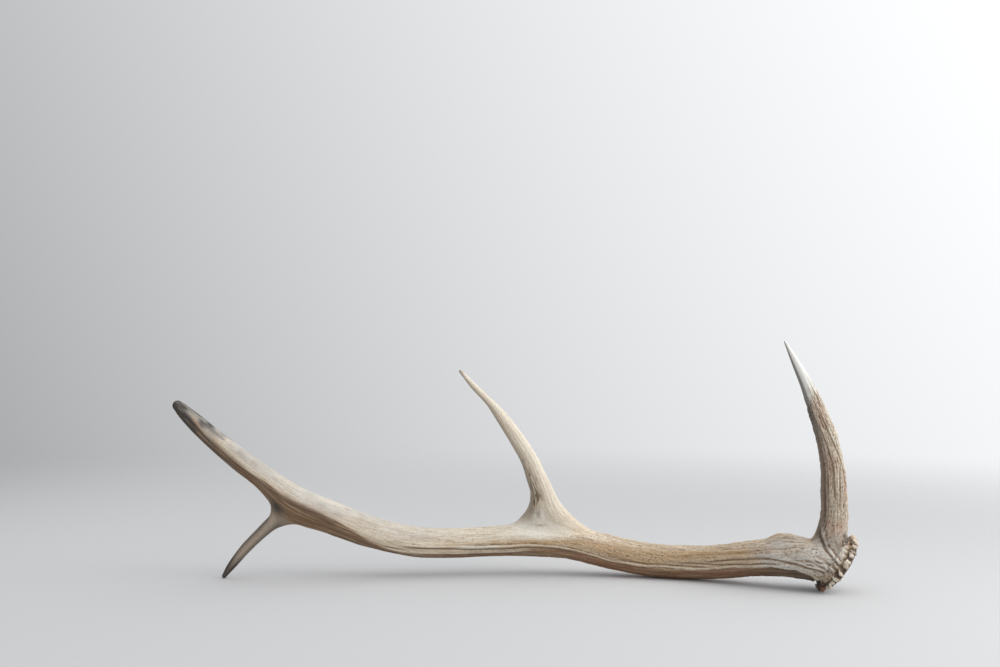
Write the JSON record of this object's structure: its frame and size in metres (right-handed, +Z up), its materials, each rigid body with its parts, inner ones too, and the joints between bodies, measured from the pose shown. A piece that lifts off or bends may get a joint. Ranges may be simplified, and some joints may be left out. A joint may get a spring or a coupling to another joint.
{
  "type": "deer antler",
  "caption": "Shed red deer antler lying on a surface: bowed beam with beaded burr, brow tine, trez tine, long top tine and short back tine.",
  "frame": {"origin": "middle of the bounding box, on the surface the antler lies on", "axes": "+X along the antler from its tips to its burr, +Y away from the hollow side of its bow, +Z up"},
  "size_m": [0.712, 0.1714, 0.2575],
  "materials": {
    "lower_beam": "rough ridged antler, tan with a grey pitted base and cream beads",
    "brow_tine": "grooved grey-brown antler, polished ivory at the tip",
    "trez_tine": "fine-grooved cream antler with brown flecks",
    "upper_beam": "weathered cream and tan antler, brown beneath",
    "top_tine": "smooth grey-tan antler, dark at the tip",
    "back_tine": "smooth grey-brown antler, nearly black at the tip"
  },
  "bodies": {
    "root": {"lower_beam": "lower_beam", "brow_tine": "brow_tine", "trez_tine": "trez_tine", "upper_beam": "upper_beam", "top_tine": "top_tine", "back_tine": "back_tine"}
  },
  "joints": []
}
